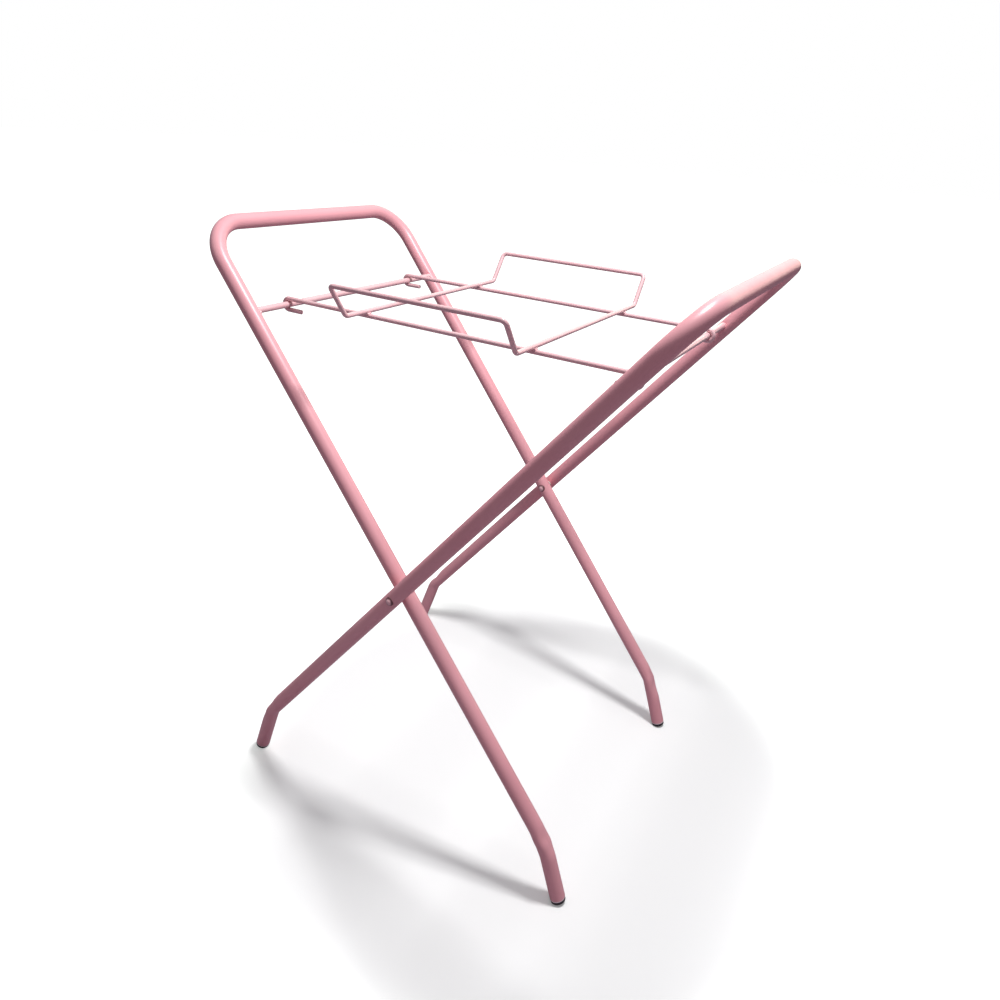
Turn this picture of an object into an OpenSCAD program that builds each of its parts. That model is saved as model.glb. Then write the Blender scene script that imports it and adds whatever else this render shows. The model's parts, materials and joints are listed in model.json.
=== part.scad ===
// Folding X stand that carries a baby bath at standing height.
// Two bent tube frames cross at riveted pivots. A wire rack hooks over the
// crossbar of each frame, holds the stand open and cradles the bath.
// Millimetres, +Z up. The origin is on the floor, straight under the pivots.
// -X is the side of the inner frame's handle, -Y is the near side.

/* [Frame tubes] */
// Outside diameter of the frame tube
tube_d = 22; // [18:0.5:28]
// Wall of the frame tube
tube_wall = 0.9; // [0.8:0.1:1.6]
// Height of the pivots above the floor
pivot_h = 404; // [334:1:484]
// Lean of the straight legs from upright, with the stand open
leg_angle = 38.2; // [31:0.2:46]
// Pivot to handle bar, measured along the leg
leg_up = 568; // [470:1:690]
// Tube axis to tube axis across the inner frame
inner_w = 412; // [340:1:500]
// Bend radius of the handle corners, on the tube axis
corner_r = 60; // [45:1:75]
// Height above the floor at which a leg bends into its foot
foot_h = 91; // [74:1:114]
// Lean of the foot from upright
foot_angle = 18.6; // [14:0.2:23]
// Bend radius between leg and foot, on the tube axis
foot_bend_r = 20; // [16:1:40]

/* [Pivots] */
// Shank of the pivot rivets
rivet_d = 6; // [5:0.5:8]
// Domed head of the pivot rivets
rivet_head_d = 10.5; // [9:0.5:14]
// Height of the domed heads
rivet_head_h = 3; // [2:0.25:4]
// Radial play of the rivet in the frame tubes
rivet_play = 0.05; // [0.02:0.01:0.1]
// Outside diameter of the washer between the crossing tubes
washer_d = 14; // [12:0.5:18]
// Thickness of that washer
washer_t = 1.2; // [0.8:0.1:2]
// Play on each flat face of the washer and under each rivet head
face_play = 0.1; // [0.05:0.01:0.2]

/* [Crossbars] */
// Diameter of the crossbar rods
rod_d = 9; // [7:0.5:11]
// Handle bar down to crossbar, measured along the leg
rod_drop = 137; // [110:1:165]
// How far a crossbar sits off the leg axis, towards the rack
rod_inset = 4.5; // [3:0.1:5]
// Radial play of the rod in the hole of the leg
rod_play = 0.1; // [0.05:0.01:0.2]
// Distance from the leg axis at which a rod ends inside the tube
rod_end_gap = 1; // [0.5:0.1:2]
// Radius of the dish that is pressed into the leg round each rod
dish_r = 20; // [17:1:24]
// Depth of that dish
dish_depth = 2; // [1.6:0.1:2.4]
// Radius of the tack weld under each end of a rod
tack_r = 3.2; // [2.4:0.1:4]

/* [Rack wires] */
// Diameter of the rack wire
wire_d = 6.5; // [5:0.25:8]
// Axis to axis between the two long wires
wire_spacing = 280; // [230:1:310]
// Gap between a hook and the crossbar that it holds
hook_play = 0.15; // [0.1:0.01:0.3]
// Crossbar axis to the end of a hook's tail
tail_len = 24; // [18:1:30]

/* [Bath cradle] */
// Length of the cradle between its two cross runs, axis to axis
cradle_len = 252; // [200:1:310]
// Middle of the cradle measured from the middle of the stand
cradle_shift = 7; // [0:1:15]
// Rise of the two side guards above the cross runs
guard_h = 43; // [34:1:52]
// Outward lean of a guard, from its foot to its top rail
guard_out = 29; // [23:1:35]
// Side gap between a guard and the outer frame's legs
guard_play = 2.2; // [1.5:0.1:4]
// Bend radius where the cross runs turn up
cradle_low_r = 9; // [7:0.5:12]
// Bend radius at the ends of the top rails
cradle_top_r = 7; // [6:0.5:9]
// Gap between the crossing wires, closed by the welds
weld_gap = 0.05; // [0.02:0.01:0.1]
// Radius of the weld bead at each crossing
bead_r = 4.3; // [3.5:0.1:5.5]

/* [Foot plugs] */
// Gap left under the lowest point of the cut tube end
plug_sole = 3; // [2:0.1:4]
// Step from the tube's outside in to the plug's rim
plug_step = 0.4; // [0.2:0.1:1]
// Thickness of the rim, under the tube's end
plug_rim = 4; // [3.5:0.1:5]
// Height of the dome under the rim, before it is cut flat
plug_dome = 5; // [4.5:0.25:6]
// Length of the stem inside the tube
plug_stem = 20; // [14:1:28]
// Wall of the hollow stem
plug_wall = 1.8; // [1.4:0.1:2.4]
// Number of ribs that grip the bore
plug_ribs = 3; // [2:1:4]
// Height of each rib above the stem
rib_h = 0.5; // [0.3:0.05:0.8]
// Gap between the ribs and the bore
plug_play = 0.05; // [0.02:0.01:0.1]

/* [Hidden] */
$fn = 96;

near = -1;
far = 1;
cut_over = 2;
weld_skin = 0.02;
// A straight runs this far into a bend, and a bend is this much thicker,
// so that the two always join without a seam.
bend_lap = 0.3;
bend_skin = 0.04;

tube_r = tube_d / 2;
bore_r = tube_r - tube_wall;
inner_half = inner_w / 2;
outer_half = inner_half + tube_d + washer_t + 2 * face_play;

leg_down = (pivot_h - foot_h) / cos(leg_angle);
foot_turn = leg_angle - foot_angle;
tube_end_h = plug_sole + tube_r * sin(foot_angle);
foot_len = (foot_h - tube_end_h) / cos(foot_angle);

rod_along = leg_up - rod_drop;
rod_x = rod_along * sin(leg_angle) - rod_inset * cos(leg_angle);
rod_z = pivot_h + rod_along * cos(leg_angle) + rod_inset * sin(leg_angle);
rod_seat = sqrt(tube_r * tube_r - rod_inset * rod_inset);
dish_off = tube_r + dish_r - dish_depth;

wire_r = wire_d / 2;
wire_half = wire_spacing / 2;
hook_r = rod_d / 2 + wire_r + hook_play;
wire_z = rod_z + hook_r;
cross_z = wire_z + wire_d + weld_gap;
guard_half = outer_half - tube_r - guard_play - wire_r;
cross_half = guard_half - guard_out;
cross_x = [cradle_shift - cradle_len / 2, cradle_shift + cradle_len / 2];

rim_r = tube_r - plug_step;
rib_r = bore_r - plug_play;
stem_r = rib_r - rib_h;
ball_r = (rim_r * rim_r + plug_dome * plug_dome) / (2 * plug_dome);

steel_pink = [0.95, 0.66, 0.71];
plug_black = [0.08, 0.08, 0.09];
washer_white = [0.9, 0.9, 0.88];

function unit(v) = v / norm(v);
function turn_of(a, b, c) = acos(max(-1, min(1, unit(b - a) * unit(c - b))));
function any_normal(v) = unit(cross(v, abs(v.z) < 0.9 ? [0, 0, 1] : [1, 0, 0]));
// Length that a bend of radius r takes from each of the straights that meet at b
function bend_reach(a, b, c, r) = r * tan(turn_of(a, b, c) / 2);

// Puts the children's X, Y and Z along three unit vectors, at a point
module axes_at(x, y, z, p)
    multmatrix([
        [x.x, y.x, z.x, p.x],
        [x.y, y.y, z.y, p.y],
        [x.z, y.z, z.z, p.z],
        [0, 0, 0, 1]
    ]) children();

// Round straight from a to b
module straight(a, b, r) {
    along = unit(b - a);
    side = any_normal(along);
    axes_at(side, cross(along, side), along, a) cylinder(r = r, h = norm(b - a));
}

// Round bend of radius bend, at corner b of the line a-b-c
module bend_at(a, b, c, bend, r) {
    run_in = unit(b - a);
    run_out = unit(c - b);
    inward = unit(run_out - run_in * (run_in * run_out));
    start = b - run_in * bend_reach(a, b, c, bend);
    axes_at(-inward, run_in, cross(-inward, run_in), start + inward * bend)
        rotate_extrude(angle = turn_of(a, b, c)) translate([bend, 0]) circle(r = r + bend_skin);
}

// Round bar of radius r through points, with a bend radius at each of them.
// The first and last radii are not used, unless the bar closes on itself.
module bent_bar(points, bends, r, closed = false) {
    n = len(points);
    is_end = [for (i = [0 : n - 1]) !closed && (i == 0 || i == n - 1)];
    reach = [
        for (i = [0 : n - 1])
            is_end[i] ? 0
            : bend_reach(points[(i + n - 1) % n], points[i], points[(i + 1) % n], bends[i]) - bend_lap
    ];
    for (i = [0 : closed ? n - 1 : n - 2]) {
        j = (i + 1) % n;
        along = unit(points[j] - points[i]);
        straight(points[i] + along * reach[i], points[j] - along * reach[j], r);
    }
    for (i = [0 : n - 1])
        if (!is_end[i])
            bend_at(points[(i + n - 1) % n], points[i], points[(i + 1) % n], bends[i], r);
}

// Frame space: origin on the pivot line, +Z up the legs, +X towards the rack.
module inner_pose() translate([0, 0, pivot_h]) rotate([0, -leg_angle, 0]) children();
module outer_pose() mirror([1, 0, 0]) inner_pose() children();
module mirror_side(side) mirror([0, side < 0 ? 1 : 0, 0]) children();

// Foot space, inside frame space: origin where the leg bends, -Z down the foot.
module foot_pose(half, side)
    translate([0, side * half, -leg_down]) rotate([0, foot_turn, 0]) children();

function foot_end(half, side, over) =
    [0, side * half, -leg_down] - (foot_len + over) * [sin(foot_turn), 0, cos(foot_turn)];

// The bent line of a frame, from the near foot over the handle to the far foot
function frame_points(half, over = 0) = [
    foot_end(half, near, over),
    [0, near * half, -leg_down],
    [0, near * half, leg_up],
    [0, far * half, leg_up],
    [0, far * half, -leg_down],
    foot_end(half, far, over)
];
frame_bends = [0, foot_bend_r, corner_r, corner_r, foot_bend_r, 0];

// Length of leg round a crossbar, seen from the far leg
module leg_at_rod(half, r)
    translate([0, half, rod_along - 2 * rod_d]) cylinder(r = r, h = 4 * rod_d);

// Ball that presses the dish into the far leg, square to its wall at the rod
module dish_ball(half, r)
    translate([rod_inset * dish_off / tube_r, half - rod_seat * dish_off / tube_r, rod_along])
        sphere(r = r);

module frame_tube(half)
    difference() {
        union() {
            difference() {
                bent_bar(frame_points(half), frame_bends, tube_r);
                bent_bar(frame_points(half, cut_over), frame_bends, bore_r);
            }
            // the wall goes round the dish at its full thickness
            for (side = [near, far])
                mirror_side(side) intersection() {
                    leg_at_rod(half, tube_r - tube_wall / 2);
                    dish_ball(half, dish_r + tube_wall);
                }
        }
        for (side = [near, far]) {
            // rivet hole, through both walls
            translate([0, side * half, 0]) rotate([90, 0, 0])
                cylinder(r = rivet_d / 2 + rivet_play, h = tube_d + 2 * cut_over, center = true);
            // dish and crossbar hole, in the inner wall only
            mirror_side(side) {
                dish_ball(half, dish_r);
                translate([rod_inset, half - rod_end_gap / 2, rod_along])
                    rotate([90, 0, 0]) cylinder(r = rod_d / 2 + rod_play, h = tube_r + cut_over);
            }
        }
    }

module crossbar(half)
    translate([rod_inset, 0, rod_along]) rotate([90, 0, 0])
        cylinder(d = rod_d, h = 2 * (half - rod_end_gap), center = true);

// Tack weld in the corner below each end of a crossbar
module crossbar_tacks(half)
    for (side = [near, far])
        mirror_side(side) difference() {
            translate([rod_inset, half - rod_seat, rod_along - rod_d / 2]) sphere(r = tack_r);
            translate([rod_inset, half + tube_r, rod_along]) rotate([90, 0, 0])
                cylinder(r = rod_d / 2 + weld_skin, h = 3 * tube_r);
            difference() {
                leg_at_rod(half, tube_r + weld_skin);
                dish_ball(half, dish_r - weld_skin);
            }
        }

module inner_frame_tube() color(steel_pink) inner_pose() frame_tube(inner_half);
module outer_frame_tube() color(steel_pink) outer_pose() frame_tube(outer_half);
module inner_crossbar() color(steel_pink) inner_pose() crossbar(inner_half);
module outer_crossbar() color(steel_pink) outer_pose() crossbar(outer_half);
module inner_crossbar_tacks() color(steel_pink) inner_pose() crossbar_tacks(inner_half);
module outer_crossbar_tacks() color(steel_pink) outer_pose() crossbar_tacks(outer_half);

// Domed head of a rivet, standing on z = 0
module rivet_head() {
    dome_r = (rivet_head_d * rivet_head_d / 4 + rivet_head_h * rivet_head_h) / (2 * rivet_head_h);
    intersection() {
        translate([0, 0, rivet_head_h - dome_r]) sphere(r = dome_r);
        cylinder(d = rivet_head_d, h = rivet_head_h);
    }
}

// Rivet through both crossing tubes, with a head inside and a head outside
module pivot_rivet(side) {
    inside = inner_half - tube_r - face_play;
    outside = outer_half + tube_r + face_play;
    color(steel_pink) mirror_side(side) translate([0, inside, pivot_h]) rotate([-90, 0, 0]) {
        cylinder(d = rivet_d, h = outside - inside);
        mirror([0, 0, 1]) rivet_head();
        translate([0, 0, outside - inside]) rivet_head();
    }
}

// Washer that keeps the crossing tubes from scraping
module pivot_washer(side)
    color(washer_white) mirror_side(side)
        translate([0, inner_half + tube_r + face_play, pivot_h]) rotate([-90, 0, 0])
            difference() {
                cylinder(d = washer_d, h = washer_t);
                translate([0, 0, -cut_over])
                    cylinder(r = rivet_d / 2 + rivet_play, h = washer_t + 2 * cut_over);
            }

// Long rack wire: a straight with a J hook round the crossbar at each end.
// A hook runs over its crossbar, down the outer side and back underneath.
module rack_wire(side)
    color(steel_pink) translate([0, side * wire_half, 0]) {
        straight([-rod_x - bend_lap, 0, wire_z], [rod_x + bend_lap, 0, wire_z], wire_r);
        for (way = [0, 1])
            mirror([way, 0, 0]) {
                translate([rod_x, 0, rod_z]) rotate([90, 0, 0]) rotate([0, 0, -90])
                    rotate_extrude(angle = 180) translate([hook_r, 0]) circle(r = wire_r + bend_skin);
                straight([rod_x - tail_len, 0, rod_z - hook_r], [rod_x + bend_lap, 0, rod_z - hook_r], wire_r);
            }
    }

// Closed saddle of wire: two cross runs on the long wires, and a leaning
// guard on each side whose top rail runs along the stand
module cradle_loop() {
    top_z = cross_z + guard_h;
    color(steel_pink) bent_bar(
        [
            [cross_x[0], -cross_half, cross_z], [cross_x[0], -guard_half, top_z],
            [cross_x[1], -guard_half, top_z], [cross_x[1], -cross_half, cross_z],
            [cross_x[1], cross_half, cross_z], [cross_x[1], guard_half, top_z],
            [cross_x[0], guard_half, top_z], [cross_x[0], cross_half, cross_z]
        ],
        [
            cradle_low_r, cradle_top_r, cradle_top_r, cradle_low_r,
            cradle_low_r, cradle_top_r, cradle_top_r, cradle_low_r
        ],
        wire_r, closed = true
    );
}

// Weld bead at each crossing of a cross run and a long wire
module rack_welds()
    color(steel_pink)
        for (x = cross_x, side = [near, far])
            difference() {
                translate([x, side * wire_half, wire_z + wire_r + weld_gap / 2]) sphere(r = bead_r);
                translate([x, side * wire_half, wire_z]) rotate([0, 90, 0])
                    cylinder(r = wire_r + weld_skin, h = 4 * bead_r, center = true);
                translate([x, side * wire_half, cross_z]) rotate([90, 0, 0])
                    cylinder(r = wire_r + weld_skin, h = 4 * bead_r, center = true);
            }

// Plug in foot space: ribbed hollow stem up the bore, rim and dome below the tube
module plug_body() {
    rib_pitch = plug_stem / (plug_ribs + 1);
    translate([0, 0, -foot_len]) {
        intersection() {
            mirror([0, 0, 1]) cylinder(r = rim_r, h = plug_rim + plug_dome + cut_over);
            translate([0, 0, ball_r - plug_dome - plug_rim]) sphere(r = ball_r);
        }
        difference() {
            union() {
                cylinder(r = stem_r, h = plug_stem);
                for (i = [1 : plug_ribs])
                    translate([0, 0, i * rib_pitch]) rotate_extrude()
                        polygon([[0, -rib_h], [stem_r, -rib_h], [rib_r, 0], [stem_r, rib_h], [0, rib_h]]);
            }
            cylinder(r = stem_r - plug_wall, h = plug_stem + cut_over);
        }
    }
}

// The dome of a plug is cut level, so that the leaning foot stands flat
module above_floor()
    difference() {
        children();
        translate([-2 * leg_up, -2 * leg_up, -foot_h]) cube([4 * leg_up, 4 * leg_up, foot_h]);
    }

module foot_plug_inner(side)
    color(plug_black) above_floor() inner_pose() foot_pose(inner_half, side) plug_body();
module foot_plug_outer(side)
    color(plug_black) above_floor() outer_pose() foot_pose(outer_half, side) plug_body();

inner_frame_tube();
inner_crossbar();
inner_crossbar_tacks();
outer_frame_tube();
outer_crossbar();
outer_crossbar_tacks();
pivot_rivet(near);  // pivot_rivet_near
pivot_rivet(far);  // pivot_rivet_far
pivot_washer(near);  // pivot_washer_near
pivot_washer(far);  // pivot_washer_far
rack_wire(near);  // rack_wire_near
rack_wire(far);  // rack_wire_far
cradle_loop();
rack_welds();
foot_plug_inner(near);  // foot_plug_inner_near
foot_plug_inner(far);  // foot_plug_inner_far
foot_plug_outer(near);  // foot_plug_outer_near
foot_plug_outer(far);  // foot_plug_outer_far
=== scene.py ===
import json
import math

import bmesh
import bpy
import numpy as np
from mathutils import Matrix, Quaternion, Vector, noise


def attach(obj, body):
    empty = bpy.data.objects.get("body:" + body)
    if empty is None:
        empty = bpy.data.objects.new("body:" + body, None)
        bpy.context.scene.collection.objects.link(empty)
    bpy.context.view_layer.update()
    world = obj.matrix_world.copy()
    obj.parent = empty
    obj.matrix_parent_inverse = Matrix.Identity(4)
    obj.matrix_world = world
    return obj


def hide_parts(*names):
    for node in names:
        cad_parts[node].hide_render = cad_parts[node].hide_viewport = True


# Folding stand for a baby bath: two bent tube frames on rivets, with a wire rack.
# Every piece is built over its own node of the frame, in metres.

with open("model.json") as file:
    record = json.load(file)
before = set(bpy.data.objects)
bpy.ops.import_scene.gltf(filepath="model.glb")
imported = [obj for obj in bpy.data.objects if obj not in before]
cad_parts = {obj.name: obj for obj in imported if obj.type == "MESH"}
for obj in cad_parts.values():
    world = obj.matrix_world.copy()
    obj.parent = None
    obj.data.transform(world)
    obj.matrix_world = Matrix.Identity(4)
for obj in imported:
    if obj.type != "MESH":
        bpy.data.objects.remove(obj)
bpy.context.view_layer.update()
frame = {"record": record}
bodyOf = {n: b for b, names in frame["record"]["behaviour"]["bodies"].items() for n in names}
near, far = -1, 1
mm = 0.001


# ---- shared shapes ----

def unit(v):
    v = np.asarray(v, float)
    return v / np.linalg.norm(v)


def tracePath(corners, bends, stepAt, bendStep=4.0, closed=False):
    # Middle line through the corners, each rounded to its bend radius. stepAt gives the
    # spacing of the rings at a point of a straight, bendStep their degrees in a bend.
    leastParts, endSlack = 4, 0.2 * mm
    corners = [np.asarray(c, float) for c in corners]
    count = len(corners)
    arcs = []
    for i, corner in enumerate(corners):
        if not closed and i in (0, count - 1):
            arcs.append([(corner, None)])
            continue
        runIn = unit(corner - corners[i - 1])
        runOut = unit(corners[(i + 1) % count] - corner)
        turn = math.acos(max(-1.0, min(1.0, float(runIn @ runOut))))
        inward = unit(runOut - runIn * (runIn @ runOut))
        start = corner - runIn * bends[i] * math.tan(turn / 2)
        middle = start + inward * bends[i]
        parts = max(leastParts, math.ceil(math.degrees(turn) / bendStep))
        arc = []
        for k in range(parts + 1):
            a = turn * k / parts
            arc.append((middle - inward * bends[i] * math.cos(a) + runIn * bends[i] * math.sin(a),
                        runIn * math.cos(a) + inward * math.sin(a)))
        arcs.append(arc)
    points, tangents = [], []
    for i in range(count if closed else count - 1):
        this, following = arcs[i], arcs[(i + 1) % count]
        along = unit(following[0][0] - this[-1][0])
        if this[0][1] is not None:
            points += [p for p, _ in this]
            tangents += [t for _, t in this]
        else:
            points.append(this[0][0])
            tangents.append(along)
        length = float(np.linalg.norm(following[0][0] - this[-1][0]))
        marks, at = [], 0.0
        while True:
            at += stepAt(this[-1][0] + along * at)
            if at > length - endSlack:
                break
            marks.append(at)
        # a last gap of under half a step is joined to the one before it
        if marks and length - marks[-1] < 0.5 * (marks[-1] - (marks[-2] if len(marks) > 1 else 0.0)):
            marks.pop()
        for at in marks:
            points.append(this[-1][0] + along * at)
            tangents.append(along)
    if not closed:
        points.append(arcs[-1][0][0])
        tangents.append(unit(points[-1] - arcs[-2][-1][0]))
    return np.array(points), np.array(tangents)


def carryFrames(tangents, closed):
    # Side directions carried along the line without twist; a loop shares out what is left.
    first = Vector(tangents[0])
    side = first.orthogonal().normalized()
    sides = [side.copy()]
    for i in range(1, len(tangents)):
        side.rotate(Vector(tangents[i - 1]).rotation_difference(Vector(tangents[i])))
        sides.append(side.copy())
    if closed:
        side.rotate(Vector(tangents[-1]).rotation_difference(first))
        left = math.atan2(side.cross(sides[0]).dot(first), side.dot(sides[0]))
        for i, tangent in enumerate(tangents):
            sides[i].rotate(Quaternion(Vector(tangent), left * i / len(tangents)))
    sides = np.array([list(s) for s in sides])
    return sides, np.cross(tangents, sides)


def finishMesh(name, points, faces, pose=None):
    mesh = bpy.data.meshes.new(name)
    mesh.from_pydata([tuple(p) for p in points], [], faces)
    if pose is not None:
        mesh.transform(pose)
    work = bmesh.new()
    work.from_mesh(mesh)
    bmesh.ops.recalc_face_normals(work, faces=work.faces)
    work.to_mesh(mesh)
    work.free()
    mesh.polygons.foreach_set("use_smooth", [True] * len(mesh.polygons))
    piece = bpy.data.objects.new(name, mesh)
    bpy.context.scene.collection.objects.link(piece)
    return piece


def ringFaces(rings, segments, closed=False, base=0):
    faces = []
    for i in range(rings if closed else rings - 1):
        a, b = base + i * segments, base + ((i + 1) % rings) * segments
        for k in range(segments):
            n = (k + 1) % segments
            faces.append((a + k, a + n, b + n, b + k))
    return faces


def capFaces(rings, segments, base=0):
    # One face over the first ring and one over the last
    last = base + (rings - 1) * segments
    return [tuple(base + k for k in range(segments)),
            tuple(last + k for k in reversed(range(segments)))]


def sweepBar(name, path, radius, segments, ends=None, shape=None, closed=False, pose=None):
    # Round bar along a path. ends is a list of (outward, radius) rings for both its
    # ends, closed by a middle point; shape may change the radius at each point.
    points, tangents = path
    sides, others = carryFrames(tangents, closed)
    turns = np.arange(segments) * 2 * math.pi / segments
    spokes = (np.cos(turns)[None, :, None] * sides[:, None, :]
              + np.sin(turns)[None, :, None] * others[:, None, :])
    size = np.full(spokes.shape[:2], float(radius))
    if shape:
        size = shape(points, spokes, size)
    rings = points[:, None, :] + spokes * size[:, :, None]
    if not closed:
        head = [points[0] - tangents[0] * out + spokes[0] * r for out, r in reversed(ends)]
        tail = [points[-1] + tangents[-1] * out + spokes[-1] * r for out, r in ends]
        rings = np.concatenate([np.array(head), rings, np.array(tail)])
    verts = rings.reshape(-1, 3)
    faces = ringFaces(len(rings), segments, closed)
    if not closed:
        poles = np.array([points[0] - tangents[0] * ends[-1][0], points[-1] + tangents[-1] * ends[-1][0]])
        last = (len(rings) - 1) * segments
        for k in range(segments):
            n = (k + 1) % segments
            faces.append((len(verts), n, k))
            faces.append((len(verts) + 1, last + k, last + n))
        verts = np.concatenate([verts, poles])
    return finishMesh(name, verts, faces, pose)


def turnPiece(name, profile, pose, shape=None, closed=False, segments=64):
    # Lathed piece: profile is (radius, height) from one end of its axis to the other
    turns = np.arange(segments) * 2 * math.pi / segments
    circle = np.stack([np.cos(turns), np.sin(turns), np.zeros(segments)], 1)
    rings = np.array([circle * r + np.array([0, 0, h]) for r, h in profile])
    verts = rings.reshape(-1, 3)
    if shape:
        verts = shape(verts)
    faces = ringFaces(len(profile), segments, closed)
    if not closed:
        faces += capFaces(len(profile), segments)
    return finishMesh(name, verts, faces, pose)


def roundedEdge(reach, radius, e, parts=5):
    # Rings that round a bar's cut end with an edge radius e
    arc = [math.pi / 2 * k / parts for k in range(1, parts + 1)]
    return [(reach - e + e * math.sin(a), radius - e + e * math.cos(a)) for a in arc]


def softMin(a, b, k):
    h = np.maximum(k - np.abs(a - b), 0) / k
    return np.minimum(a, b) - h * h * k / 4


def place(piece, finish, slot, *nodes):
    piece.data.materials.append(finish)
    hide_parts(*nodes)
    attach(piece, bodyOf[nodes[0]])


# ---- where the frames stand ----

stand = {
    "pivotHeight": 404 * mm,
    "legAngle": 38.2,
    "innerHalf": 206 * mm,       # middle plane to a leg's middle
    "outerHalf": 229.4 * mm,
    "wireHalf": 140 * mm,        # and to a long wire of the rack
}


def framePose(mirrored):
    # Frame space has its origin on the pivot line and Z up the legs, to the handle bar
    pose = (Matrix.Translation((0, 0, stand["pivotHeight"]))
            @ Matrix.Rotation(math.radians(-stand["legAngle"]), 4, "Y"))
    return Matrix.Diagonal((-1, 1, 1, 1)) @ pose if mirrored else pose


# ---- finishes ----

def makeGroup(name, inputs, outputs):
    group = bpy.data.node_groups.new(name, "ShaderNodeTree")
    for label, kind, value in inputs:
        socket = group.interface.new_socket(name=label, in_out="INPUT", socket_type=kind)
        if value is not None:
            socket.default_value = value
    for label, kind in outputs:
        group.interface.new_socket(name=label, in_out="OUTPUT", socket_type=kind)
    source = group.nodes.new("NodeGroupInput")
    target = group.nodes.new("NodeGroupOutput")
    return group, source, target


def addNode(tree, kind, values=None, **options):
    node = tree.nodes.new(kind)
    for key, value in options.items():
        setattr(node, key, value)
    for key, value in (values or {}).items():
        node.inputs[key].default_value = value
    return node


def orangePeelGroup():
    # The soft ripple of a sprayed and baked coat, over a broader one
    group, source, target = makeGroup(
        "orangePeel",
        [("Position", "NodeSocketVector", None), ("Ripple Scale", "NodeSocketFloat", 260.0)],
        [("Height", "NodeSocketFloat")])
    links = group.links
    broadScale, broadHeight = 0.22, 0.6    # next to the fine ripple's own
    ripple = addNode(group, "ShaderNodeTexNoise", {"Detail": 2.0, "Roughness": 0.45})
    broad = addNode(group, "ShaderNodeTexNoise", {"Detail": 1.0})
    scale = addNode(group, "ShaderNodeMath", {1: broadScale}, operation="MULTIPLY")
    blend = addNode(group, "ShaderNodeMath", {1: broadHeight}, operation="MULTIPLY_ADD")
    links.new(source.outputs["Position"], ripple.inputs["Vector"])
    links.new(source.outputs["Ripple Scale"], ripple.inputs["Scale"])
    links.new(source.outputs["Position"], broad.inputs["Vector"])
    links.new(source.outputs["Ripple Scale"], scale.inputs[0])
    links.new(scale.outputs[0], broad.inputs["Scale"])
    links.new(broad.outputs["Fac"], blend.inputs[0])
    links.new(ripple.outputs["Fac"], blend.inputs[2])
    links.new(blend.outputs[0], target.inputs["Height"])
    return group


def coatToneGroup():
    # Colour of a coat or a plastic that is a little deeper in one place than in another
    group, source, target = makeGroup(
        "coatTone",
        [("Position", "NodeSocketVector", None), ("Thin", "NodeSocketColor", (0.5, 0.5, 0.5, 1)),
         ("Thick", "NodeSocketColor", (0.5, 0.5, 0.5, 1)), ("Cloud Scale", "NodeSocketFloat", 9.0)],
        [("Color", "NodeSocketColor"), ("Cloud", "NodeSocketFloat")])
    links = group.links
    cloud = addNode(group, "ShaderNodeTexNoise", {"Detail": 5.0, "Roughness": 0.55, "Distortion": 0.3})
    ramp = addNode(group, "ShaderNodeMapRange", {"From Min": 0.3, "From Max": 0.7},
                   interpolation_type="SMOOTHSTEP")
    mix = addNode(group, "ShaderNodeMix", data_type="RGBA")
    links.new(source.outputs["Position"], cloud.inputs["Vector"])
    links.new(source.outputs["Cloud Scale"], cloud.inputs["Scale"])
    links.new(cloud.outputs["Fac"], ramp.inputs["Value"])
    links.new(ramp.outputs[0], mix.inputs["Factor"])
    links.new(source.outputs["Thin"], mix.inputs["A"])
    links.new(source.outputs["Thick"], mix.inputs["B"])
    links.new(mix.outputs["Result"], target.inputs["Color"])
    links.new(ramp.outputs[0], target.inputs["Cloud"])
    return group


def fadeOut(group, source, target, distance, reach, grain, cut):
    # Mask that is full at no distance and gone at reach, broken up by a grain
    links = group.links
    fade = addNode(group, "ShaderNodeMapRange", {"From Min": 0.0, "To Min": 1.0, "To Max": 0.0},
                   interpolation_type="SMOOTHSTEP")
    specks = addNode(group, "ShaderNodeTexNoise", grain)
    broken = addNode(group, "ShaderNodeMapRange", cut)
    both = addNode(group, "ShaderNodeMath", operation="MULTIPLY")
    links.new(distance, fade.inputs["Value"])
    links.new(source.outputs[reach], fade.inputs["From Max"])
    links.new(source.outputs["Position"], specks.inputs["Vector"])
    links.new(source.outputs["Grain Scale"], specks.inputs["Scale"])
    links.new(specks.outputs["Fac"], broken.inputs["Value"])
    links.new(fade.outputs[0], both.inputs[0])
    links.new(broken.outputs[0], both.inputs[1])
    links.new(both.outputs[0], target.inputs["Mask"])


def rubAndHookShadeGroup():
    # Band where another piece bears, which is painted darker as its shade and made rougher
    # by its rubbing: full at Middle from the object's middle plane, on both its sides, and
    # gone at Reach from there
    group, source, target = makeGroup(
        "rubAndHookShade",
        [("Position", "NodeSocketVector", None), ("Middle", "NodeSocketFloat", 0.14),
         ("Reach", "NodeSocketFloat", 0.006), ("Grain Scale", "NodeSocketFloat", 700.0)],
        [("Mask", "NodeSocketFloat")])
    links = group.links
    split = addNode(group, "ShaderNodeSeparateXYZ")
    aside = addNode(group, "ShaderNodeMath", operation="ABSOLUTE")
    past = addNode(group, "ShaderNodeMath", operation="SUBTRACT")
    gap = addNode(group, "ShaderNodeMath", operation="ABSOLUTE")
    links.new(source.outputs["Position"], split.inputs[0])
    links.new(split.outputs["Y"], aside.inputs[0])
    links.new(aside.outputs[0], past.inputs[0])
    links.new(source.outputs["Middle"], past.inputs[1])
    links.new(past.outputs[0], gap.inputs[0])
    fadeOut(group, source, target, gap.outputs[0], "Reach",
            {"Detail": 4.0, "Roughness": 0.7}, {"From Min": 0.42, "From Max": 0.62})
    return group


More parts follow.
